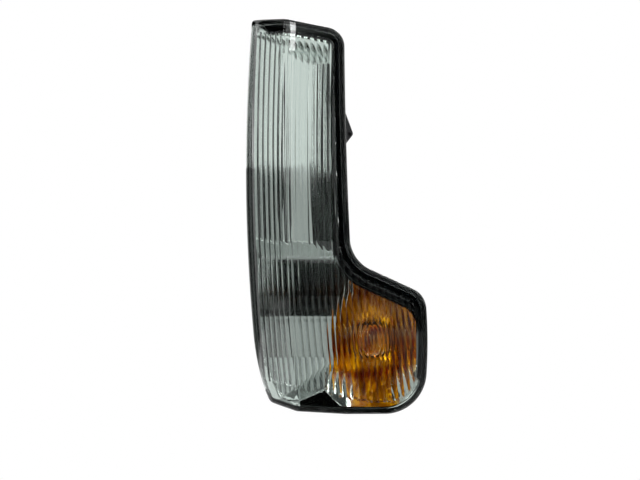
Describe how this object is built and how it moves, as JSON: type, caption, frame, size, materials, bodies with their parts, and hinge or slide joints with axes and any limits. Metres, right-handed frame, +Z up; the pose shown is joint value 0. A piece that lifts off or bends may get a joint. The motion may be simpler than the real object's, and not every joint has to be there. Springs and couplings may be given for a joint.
{
  "type": "mirror turn signal lamp",
  "caption": "L-shaped turn signal lamp for a door mirror: clear fluted lens, chrome reflector, amber wedge bulb in a twist-lock holder, black housing.",
  "frame": {"origin": "midway between the two rear fixing bosses, on the plane of their seats", "axes": "+Z up along the arm of the L, the lens looks along -Y, the bosses' holes open along +Y, +X to the foot of the L"},
  "size_m": [0.0872, 0.0733, 0.1892],
  "materials": {
    "clear_lens": "clear moulded, polished outside, fluted inside",
    "black_housing": "fine moulded grain",
    "black_sealant": "cured bead",
    "chromed_reflector": "vacuum metallised mirror",
    "black_bezel": "gloss",
    "amber_glass": "amber coated glass",
    "lead_wire": "drawn wire",
    "filament_wire": "coiled wire",
    "grey_holder": "satin moulded",
    "seal_rubber": "soft matt",
    "contact_brass": "stamped strip",
    "screw_steel": "zinc plated",
    "cap_rubber": "soft matt"
  },
  "bodies": {
    "lamp": {"lens": "clear_lens", "housing": "black_housing", "lens_sealant": "black_sealant", "reflector": "chromed_reflector", "bezel": "black_bezel", "reflector_screws": "screw_steel", "vent_cap": "cap_rubber"},
    "holder": {"bulb_holder": "grey_holder", "holder_seal": "seal_rubber", "contact_right": "contact_brass", "contact_left": "contact_brass", "bulb_glass": "amber_glass", "bulb_leads": "lead_wire", "bulb_filament": "filament_wire"}
  },
  "joints": [
    {"name": "holder_twist", "type": "hinge", "parent": "lamp", "child": "holder", "pos_m": [0.0347, 0, -0.06], "axis": [0, 1, 0], "range_deg": [0, 45]}
  ]
}
